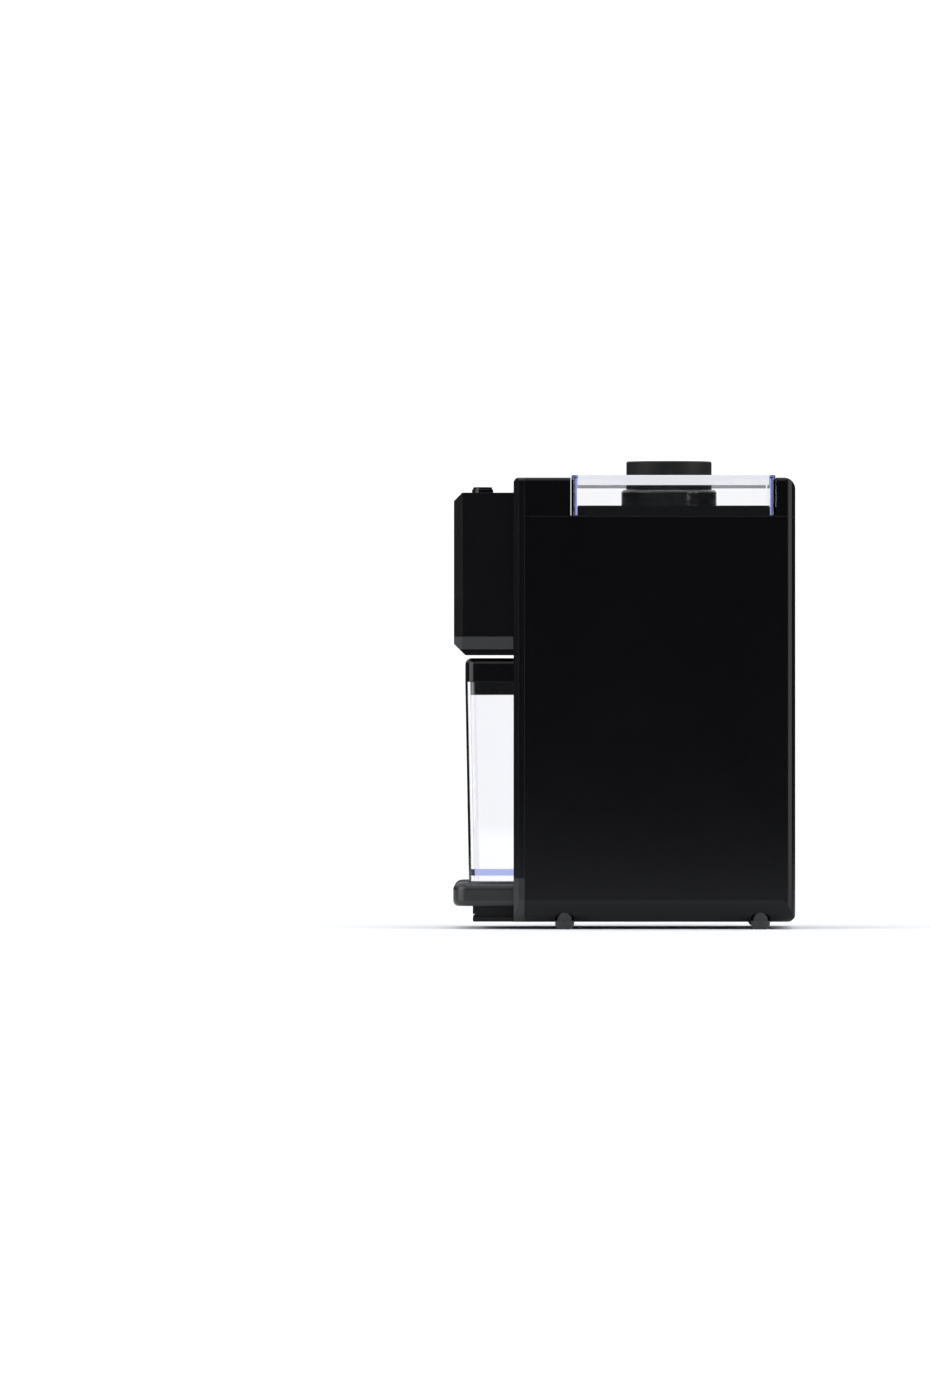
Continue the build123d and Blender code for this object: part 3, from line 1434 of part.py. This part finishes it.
def cooling_fan():
    fan = disc(hub_r, (fan_bottom, fan_top), 0, motor_y)
    fan += disc(fan_r, (fan_top - fan_plate, fan_top), 0, motor_y)
    blade_y = (motor_y + hub_r - past, motor_y + fan_r)
    blade = span((-blade_thick / 2, blade_thick / 2), blade_y, (fan_bottom, fan_top))
    fan += around(blade, fan_blades, 0, motor_y)
    return fan - disc(motor_shaft_r, (fan_bottom, fan_top), 0, motor_y)


# ---- Fasteners ----
def case_screws():
    """The twelve long screws of the base, the top cover and the head."""
    screws = []
    for sign in (-1, 1):
        for y in deck_boss_ys:
            screws.append(screw(sign * deck_boss_x, y, deck_ledge_levels()[0], case_screw_length, 1))
        for y in base_boss_ys:
            screws.append(screw(sign * base_boss_x, y, foot_lift + base_floor, case_screw_length, 1))
    for x, z in head_screw_places():
        screws.append(screw_y(x, z, bezel_back_y, case_screw_length, -1))
    return group(screws)


def small_screws():
    """The identical short screws of the posts, pillars, chamber, motor and circuit board."""
    length = small_screw_length
    screws = [screw(x, y, chamber_bottom, length, -1) for x in (-post_x, post_x) for y in post_ys]
    screws += [screw(x, y, chamber_bottom, length, -1) for x, y in pillar_places()]
    screws += [screw(x, y, chassis_bottom, length, 1) for x, y in chamber_screw_places()]
    screws += [screw(x, y, bracket_top, length, -1) for x, y in motor_screw_places()]
    seat = board_y + board_thick
    screws += [screw_y(x, z, seat, length, -1) for x, z in board_screw_places()]
    return group(screws)


# ---- Write the nodes ----
outer_form = body_form(0.0, bezel_back_y)
inner_form = body_form(wall, bezel_back_y - 1)

nodes = {
    "base_plate": base_plate,
    "rubber_feet": rubber_feet,
    "cord_gland": cord_gland,
    "side_shell": side_shell,
    "top_cover": top_cover,
    "front_bezel": front_bezel,
    "bay_liner": bay_liner,
    "tray": tray,
    "tray_plinth": tray_plinth,
    "container": container,
    "container_lid": container_lid,
    "head_cover": head_cover,
    "dial_ring": dial_ring,
    "cup_dial": cup_dial,
    "timer_board": timer_board,
    "potentiometer": potentiometer,
    "start_button": start_button,
    "button_spring": button_spring,
    "button_guide": button_guide,
    "start_switch": start_switch,
    "interlock_pin": interlock_pin,
    "interlock_switch": interlock_switch,
    "interlock_bracket": interlock_bracket,
    "hopper_basin": hopper_basin,
    "hopper_lid": hopper_lid,
    "grind_knob": grind_knob,
    "adjuster_bell": adjuster_bell,
    "knob_screw": knob_screw,
    "burr_carrier": burr_carrier,
    "upper_burr": upper_burr,
    "lower_burr": lower_burr,
    "upper_burr_screws": upper_burr_screws,
    "lower_burr_screws": lower_burr_screws,
    "impeller": impeller,
    "shaft_nut": shaft_nut,
    "grind_chamber": grind_chamber,
    "chamber_seal": chamber_seal,
    "coffee_chute": coffee_chute,
    "drive_gear": drive_gear,
    "drive_shaft": drive_shaft,
    "shaft_clip": shaft_clip,
    "shaft_bushes": shaft_bushes,
    "shaft_seal": shaft_seal,
    "chassis_plate": chassis_plate,
    "gear_bracket": gear_bracket,
    "frame_posts": frame_posts,
    "motor_can": motor_can,
    "motor_end_cap": motor_end_cap,
    "motor_brushes": motor_brushes,
    "motor_bearings": motor_bearings,
    "motor_magnets": motor_magnets,
    "motor_shaft": motor_shaft,
    "motor_armature": motor_armature,
    "rotor_windings": rotor_windings,
    "commutator": commutator,
    "cooling_fan": cooling_fan,
    "motor_pinion": motor_pinion,
    "case_screws": case_screws,
    "small_screws": small_screws,
}

os.makedirs("parts", exist_ok=True)
for name, make in nodes.items():
    save(name, make())
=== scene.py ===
import json
import math

import bpy
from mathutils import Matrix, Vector


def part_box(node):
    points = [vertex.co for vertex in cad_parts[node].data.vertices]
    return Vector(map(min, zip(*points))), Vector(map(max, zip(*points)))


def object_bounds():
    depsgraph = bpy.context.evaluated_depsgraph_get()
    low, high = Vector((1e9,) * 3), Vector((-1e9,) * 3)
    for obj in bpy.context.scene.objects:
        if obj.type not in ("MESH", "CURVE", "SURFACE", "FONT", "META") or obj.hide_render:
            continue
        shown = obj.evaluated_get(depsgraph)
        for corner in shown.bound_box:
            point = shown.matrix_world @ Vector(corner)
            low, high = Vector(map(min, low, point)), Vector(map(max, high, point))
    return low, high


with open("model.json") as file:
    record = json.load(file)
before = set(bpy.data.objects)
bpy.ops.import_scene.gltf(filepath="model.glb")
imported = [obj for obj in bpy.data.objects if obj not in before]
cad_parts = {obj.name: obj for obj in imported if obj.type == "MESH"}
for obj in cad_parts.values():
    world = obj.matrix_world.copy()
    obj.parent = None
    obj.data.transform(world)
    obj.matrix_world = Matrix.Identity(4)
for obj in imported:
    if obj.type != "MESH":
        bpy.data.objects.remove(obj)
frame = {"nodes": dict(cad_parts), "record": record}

# Burr coffee grinder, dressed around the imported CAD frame. Metres, +Z up, the front faces -Y.

MM = 0.001
nodes = frame["nodes"]
cad_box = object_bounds()

# ---- Sizes taken from the frame ----
lid_low, lid_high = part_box("hopper_lid")
near_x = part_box("side_shell")[1][0]
middle_y = (cad_box[0][1] + cad_box[1][1]) / 2


# ---- Material helpers ----
class Graph:
    """A node tree that is filled by short calls."""

    def __init__(self, tree):
        self.tree = tree
        tree.nodes.clear()

    def add(self, kind, inputs=None, **settings):
        node = self.tree.nodes.new(kind)
        for name, value in settings.items():
            setattr(node, name, value)
        for name, value in (inputs or {}).items():
            self.feed(node, name, value)
        return node

    def feed(self, node, name, value):
        if isinstance(value, bpy.types.NodeSocket):
            self.tree.links.new(value, node.inputs[name])
        else:
            node.inputs[name].default_value = value


def material(name):
    made = bpy.data.materials.new(name)
    made.use_nodes = True
    graph = Graph(made.node_tree)
    return made, graph


def shades(graph, factor, dark, light):
    """A colour that runs between two shades along a 0 to 1 factor."""
    ramp = graph.add("ShaderNodeValToRGB", {"Fac": factor})
    ramp.color_ramp.elements[0].color = (*dark, 1)
    ramp.color_ramp.elements[1].color = (*light, 1)
    return ramp.outputs["Color"]


def between(graph, factor, low, high):
    """A number that runs from low to high along a 0 to 1 factor."""
    node = graph.add("ShaderNodeMapRange", {"Value": factor, "To Min": low, "To Max": high})
    return node.outputs["Result"]


def reckon(graph, value, kind, other=0.0):
    """One step of arithmetic on a value, such as ADD or LESS_THAN, with another one."""
    return graph.add("ShaderNodeMath", {0: value, 1: other}, operation=kind).outputs[0]


def noise(graph, scale, detail=3.0, roughness=0.5, stretch=(1, 1, 1)):
    place = graph.add("ShaderNodeTexCoord").outputs["Object"]
    mapped = graph.add("ShaderNodeMapping", {"Vector": place, "Scale": stretch})
    node = graph.add("ShaderNodeTexNoise", {
        "Vector": mapped.outputs["Vector"],
        "Scale": scale,
        "Detail": detail,
        "Roughness": roughness,
    })
    return node.outputs["Fac"]


def bump(graph, height, distance, strength=1.0, normal=None):
    node = graph.add("ShaderNodeBump", {"Height": height, "Distance": distance, "Strength": strength})
    if normal:
        graph.feed(node, "Normal", normal)
    return node.outputs["Normal"]


def softened_edges(graph, radius):
    """The small radius that a mould leaves on every edge, as a shading normal."""
    return graph.add("ShaderNodeBevel", {"Radius": radius}, samples=4).outputs["Normal"]


def finish_surface(graph, inputs):
    shader = graph.add("ShaderNodeBsdfPrincipled", inputs)
    graph.add("ShaderNodeOutputMaterial", {"Surface": shader.outputs["BSDF"]})


def moulded(name, dark, light, rough, grain, depth, specular=0.3, edge=0.3 * MM):
    """Moulded plastic: spark-eroded grain, faint flow marks and handling haze in the gloss."""
    flow_depth, flow_strength = 0.05 * MM, 0.25
    made, graph = material(name)
    haze = noise(graph, 22, 4, 0.6)
    fine = noise(graph, grain, 2, 0.6)
    flow = noise(graph, 9, 2, 0.4, stretch=(1, 1, 0.25))
    normal = bump(graph, flow, flow_depth, flow_strength, softened_edges(graph, edge))
    finish_surface(graph, {
        "Base Color": shades(graph, haze, dark, light),
        "Roughness": between(graph, haze, rough[0], rough[1]),
        "Specular IOR Level": specular,
        "Normal": bump(graph, fine, depth, 1.0, normal),
    })
    return made


def painted_rim_highlight(graph):
    """1 on the upper edge of the hopper lid's side walls and 0 elsewhere: the mask of a painted highlight
    along the lid's top rim.
    """
    height, fade, skin, end_wall = 5.4 * MM, 0.3 * MM, 0.4 * MM, 3.4 * MM
    place = graph.add("ShaderNodeTexCoord").outputs["Object"]
    split = graph.add("ShaderNodeSeparateXYZ", {"Vector": place}).outputs
    band_low = lid_high[2] - height
    above = graph.add("ShaderNodeMapRange", {
        "Value": split["Z"],
        "From Min": band_low - fade,
        "From Max": band_low,
    }, interpolation_type="SMOOTHSTEP").outputs[0]
    from_middle = reckon(graph, split["X"], "ABSOLUTE")
    outside = reckon(graph, from_middle, "GREATER_THAN", lid_high[0] - skin)
    lid_middle, lid_half = (lid_low[1] + lid_high[1]) / 2, (lid_high[1] - lid_low[1]) / 2
    from_centre = reckon(graph, reckon(graph, split["Y"], "SUBTRACT", lid_middle), "ABSOLUTE")
    between_ends = reckon(graph, from_centre, "LESS_THAN", lid_half - end_wall)
    return reckon(graph, reckon(graph, above, "MULTIPLY", outside), "MULTIPLY", between_ends)


def clear_plastic(name, tint, density, rough=0.015, band=None):
    """Clear moulded plastic, whose own colour only shows along the length of a wall."""
    acrylic_ior, ripple_depth, ripple_strength = 1.49, 0.04 * MM, 0.3
    # The colour, clearness and roughness of the painted highlight band along the lid's top rim.
    painted_highlight_colour, highlight_clearness, highlight_rough = (0.85, 0.85, 0.87), 0.15, 0.45
    made, graph = material(name)
    flow = noise(graph, 14, 2, 0.5)
    shader = graph.add("ShaderNodeBsdfPrincipled", {
        "Base Color": shades(graph, flow, (0.985, 0.985, 1.0), (1, 1, 1)),
        "Roughness": between(graph, noise(graph, 30, 4), rough * 0.5, rough * 1.5),
        "IOR": acrylic_ior,
        "Transmission Weight": 1.0,
        "Normal": bump(graph, flow, ripple_depth, ripple_strength),
    })
    # Painted highlight: inside the band the clear lid is drawn whiter, rougher and less clear, standing in
    # for the bright rim that the clear plastic shows there.
    if band:
        rim_highlight = band(graph)
        graph.feed(shader, "Base Color", shades(graph, rim_highlight, (1, 1, 1), painted_highlight_colour))
        graph.feed(shader, "Transmission Weight", between(graph, rim_highlight, 1.0, highlight_clearness))
        graph.feed(shader, "Roughness", between(graph, rim_highlight, rough, highlight_rough))
    volume = graph.add("ShaderNodeVolumeAbsorption", {"Color": (*tint, 1), "Density": density})
    graph.add("ShaderNodeOutputMaterial", {
        "Surface": shader.outputs["BSDF"],
        "Volume": volume.outputs["Volume"],
    })
    return made


def metal(name, dark, light, rough, stretch=(1, 1, 1), scale=600.0, depth=0.01 * MM):
    """Machined, drawn or plated metal with fine tool marks along one direction."""
    made, graph = material(name)
    marks = noise(graph, scale, 3, 0.6, stretch)
    cloud = noise(graph, 60, 3, 0.5)
    finish_surface(graph, {
        "Base Color": shades(graph, cloud, dark, light),
        "Metallic": 1.0,
        "Roughness": between(graph, marks, rough[0], rough[1]),
        "Normal": bump(graph, marks, depth, 0.6),
    })
    return made


def soft_rubber(name, dark, light):
    made, graph = material(name)
    dust = noise(graph, 120, 5, 0.7)
    finish_surface(graph, {
        "Base Color": shades(graph, dust, dark, light),
        "Roughness": between(graph, dust, 0.55, 0.8),
        "Specular IOR Level": 0.35,
        "Sheen Weight": 0.15,
        "Sheen Roughness": 0.5,
        "Normal": bump(graph, noise(graph, 1800, 2), 0.015 * MM, 0.8),
    })
    return made


# Each moulded finish: dark and light shade, roughness range, grain scale, grain depth and specular level.
MOULDED = {
    "case_black": ((0.0011, 0.0011, 0.0016), (0.0019, 0.0019, 0.0026), (0.13, 0.19), 2600, 0.004 * MM, 0.25),
    "gloss_black": ((0.0014, 0.0014, 0.0018), (0.0024, 0.0024, 0.003), (0.08, 0.14), 900, 0.002 * MM, 0.4),
    "head_black": ((0.0012, 0.0012, 0.0017), (0.002, 0.002, 0.0027), (0.12, 0.18), 2600, 0.004 * MM, 0.5),
    "tray_black": ((0.012, 0.012, 0.013), (0.018, 0.018, 0.02), (0.2, 0.28), 2600, 0.008 * MM, 0.5),
    "knob_black": ((0.0075, 0.0075, 0.008), (0.0095, 0.0095, 0.01), (0.5, 0.6), 3200, 0.02 * MM, 0.3),
    "bell_black": ((0.006, 0.006, 0.007), (0.009, 0.009, 0.011), (0.12, 0.2), 1200, 0.004 * MM, 0.8),
    "board_green": ((0.01, 0.07, 0.025), (0.02, 0.11, 0.04), (0.25, 0.4), 1200, 0.01 * MM, 0.5),
    "white_nylon": ((0.62, 0.6, 0.53), (0.74, 0.72, 0.66), (0.35, 0.5), 1500, 0.01 * MM, 0.5),
    "grey_nylon": ((0.02, 0.02, 0.022), (0.04, 0.04, 0.043), (0.4, 0.6), 1800, 0.03 * MM, 0.4),
    "ferrite": ((0.02, 0.02, 0.022), (0.05, 0.05, 0.055), (0.5, 0.7), 900, 0.05 * MM, 0.5),
    "carbon": ((0.01, 0.01, 0.01), (0.03, 0.03, 0.03), (0.4, 0.6), 1500, 0.04 * MM, 0.5),
}
BLUE_TINT, TINT_DENSITY = (0.29, 0.35, 0.79), 14.0
DRAWN_ROUND, DRAWN_ALONG = (1, 1, 12), (0.1, 0.1, 30)

finishes = {name: moulded(name, *values) for name, values in MOULDED.items()}
finishes |= {
    "clear_plastic": clear_plastic("clear_plastic", BLUE_TINT, TINT_DENSITY),
    # The hopper lid's material carries a painted highlight band along its top rim.
    "clear_lid": clear_plastic("clear_lid", BLUE_TINT, TINT_DENSITY, band=painted_rim_highlight),
    "tool_steel": metal("tool_steel", (0.42, 0.42, 0.43), (0.6, 0.6, 0.61), (0.22, 0.4)),
    "zinc_steel": metal("zinc_steel", (0.5, 0.5, 0.48), (0.68, 0.68, 0.66), (0.28, 0.45), scale=900),
    "motor_steel": metal("motor_steel", (0.3, 0.3, 0.31), (0.44, 0.44, 0.45), (0.3, 0.5), DRAWN_ROUND),
    "bronze": metal("bronze", (0.45, 0.26, 0.1), (0.6, 0.38, 0.17), (0.35, 0.55), scale=1500),
    "copper": metal(
        "copper", (0.5, 0.16, 0.06), (0.72, 0.3, 0.14), (0.3, 0.5), DRAWN_ALONG, depth=0.1 * MM
    ),
    "trim_metal": metal("trim_metal", (0.58, 0.58, 0.59), (0.72, 0.72, 0.73), (0.2, 0.32), scale=700),
    "black_rubber": soft_rubber("black_rubber", (0.024, 0.024, 0.025), (0.036, 0.036, 0.037)),
    "red_rubber": soft_rubber("red_rubber", (0.22, 0.03, 0.02), (0.3, 0.05, 0.03)),
}
own_finish = {
    "head_cover": "head_black",
    "hopper_lid": "clear_lid",
    "tray": "tray_black",
    "adjuster_bell": "bell_black",
    "container_lid": "gloss_black",
    "hopper_basin": "gloss_black",
}

for entry in frame["record"]["subparts"]:
    node = entry["node"]
    slot = own_finish.get(node, entry["material_slot"])
    nodes[node].data.materials.clear()
    nodes[node].data.materials.append(finishes[slot])


# ---- Stage ----
def make_floor():
    radius, edges = 1.2, 96
    bpy.ops.mesh.primitive_circle_add(
        vertices=edges, radius=radius, fill_type="NGON", location=(0, middle_y, 0)
    )
    floor = bpy.context.object
    floor.name = "floor"
    made, graph = material("floor_pale")
    cloud = noise(graph, 3, 2)
    finish_surface(graph, {
        "Base Color": shades(graph, cloud, (0.93, 0.93, 0.93), (0.95, 0.95, 0.95)),
        "Roughness": 0.9,
        "Specular IOR Level": 0.05,
    })
    floor.data.materials.append(made)


def make_world():
    """A white backdrop behind the object, and a room before it that is dark at eye level and bright overhead.

    Rays that haven't been reflected see the backdrop, and so do those that leave a clear wall towards it.
    Every other ray sees the room.
    """
    dark_below, bright_above = math.sin(math.radians(8)), math.sin(math.radians(40))
    dark_level, bright_level, backdrop_level = 0.08, 1.2, 1.12
    backdrop_edge, faces_of_two_walls = -0.3, 4
    world = bpy.data.worlds.new("studio")
    bpy.context.scene.world = world
    world.use_nodes = True
    graph = Graph(world.node_tree)
    path = graph.add("ShaderNodeLightPath").outputs
    direction = graph.add("ShaderNodeTexCoord").outputs["Generated"]
    split = graph.add("ShaderNodeSeparateXYZ", {"Vector": direction}).outputs

    unreflected = reckon(graph, path["Glossy Depth"], "LESS_THAN", 0.5)
    undiffused = reckon(graph, path["Diffuse Depth"], "LESS_THAN", 0.5)
    entered = reckon(graph, path["Transmission Depth"], "GREATER_THAN", 0.5)
    two_walls = reckon(graph, path["Transmission Depth"], "LESS_THAN", faces_of_two_walls + 0.5)
    backdrop = reckon(graph, split["X"], "LESS_THAN", backdrop_edge)
    in_wall = reckon(graph, reckon(graph, entered, "MULTIPLY", two_walls), "MULTIPLY", backdrop)
    seen = reckon(graph, reckon(graph, unreflected, "MAXIMUM", in_wall), "MULTIPLY", undiffused)

    sky = graph.add("ShaderNodeMapRange", {
        "Value": split["Z"],
        "From Min": dark_below,
        "From Max": bright_above,
        "To Min": dark_level,
        "To Max": bright_level,
    }, interpolation_type="SMOOTHSTEP")
    white = graph.add("ShaderNodeBackground", {"Color": (1, 1, 1, 1), "Strength": backdrop_level})
    room = graph.add("ShaderNodeBackground", {"Color": (0.9, 0.94, 1, 1), "Strength": sky.outputs[0]})
    mixed = graph.add("ShaderNodeMixShader", {0: seen, 1: room.outputs[0], 2: white.outputs[0]})
    graph.add("ShaderNodeOutputWorld", {"Surface": mixed.outputs[0]})


def softbox(name, place, target, size, radiance):
    lamp = bpy.data.lights.new(name, "AREA")
    lamp.shape = "RECTANGLE"
    lamp.size, lamp.size_y = size
    lamp.energy = radiance * math.pi * lamp.size * lamp.size_y
    holder = bpy.data.objects.new(name, lamp)
    bpy.context.scene.collection.objects.link(holder)
    holder.location = place
    holder.rotation_euler = (Vector(target) - Vector(place)).to_track_quat("-Z", "Y").to_euler()
    holder.visible_camera = False


def make_lights():
    centre = (0, 0, 0.13)
    softbox("top_box", (0.2, 0.0, 1.9), centre, (1.2, 1.2), 1.2)
    for name, side in (("front_box", -1), ("rear_box", 1)):
        softbox(name, (0.82, 1.77 * side, 0.5), centre, (1.4, 1.5), 2.4)


# ---- Camera: level with the object's middle, looking straight at its side from far away ----
def make_camera():
    distance, eye_height, side_offset = 8.0, 126.2 * MM, -41.4 * MM
    seen_height, sideways_shift = 770 * MM, -0.06
    nearest, farthest = 0.05, 50
    data = bpy.data.cameras.new("camera")
    data.lens = data.sensor_width * distance / seen_height
    data.shift_x = sideways_shift
    data.clip_start, data.clip_end = nearest, farthest
    camera = bpy.data.objects.new("camera", data)
    camera.location = (near_x + distance, side_offset, eye_height)
    camera.rotation_euler = (math.radians(90), 0, math.radians(90))
    bpy.context.scene.collection.objects.link(camera)
    bpy.context.scene.camera = camera


make_floor()
make_world()
make_lights()
make_camera()
bpy.context.scene.view_settings.view_transform = "Standard"
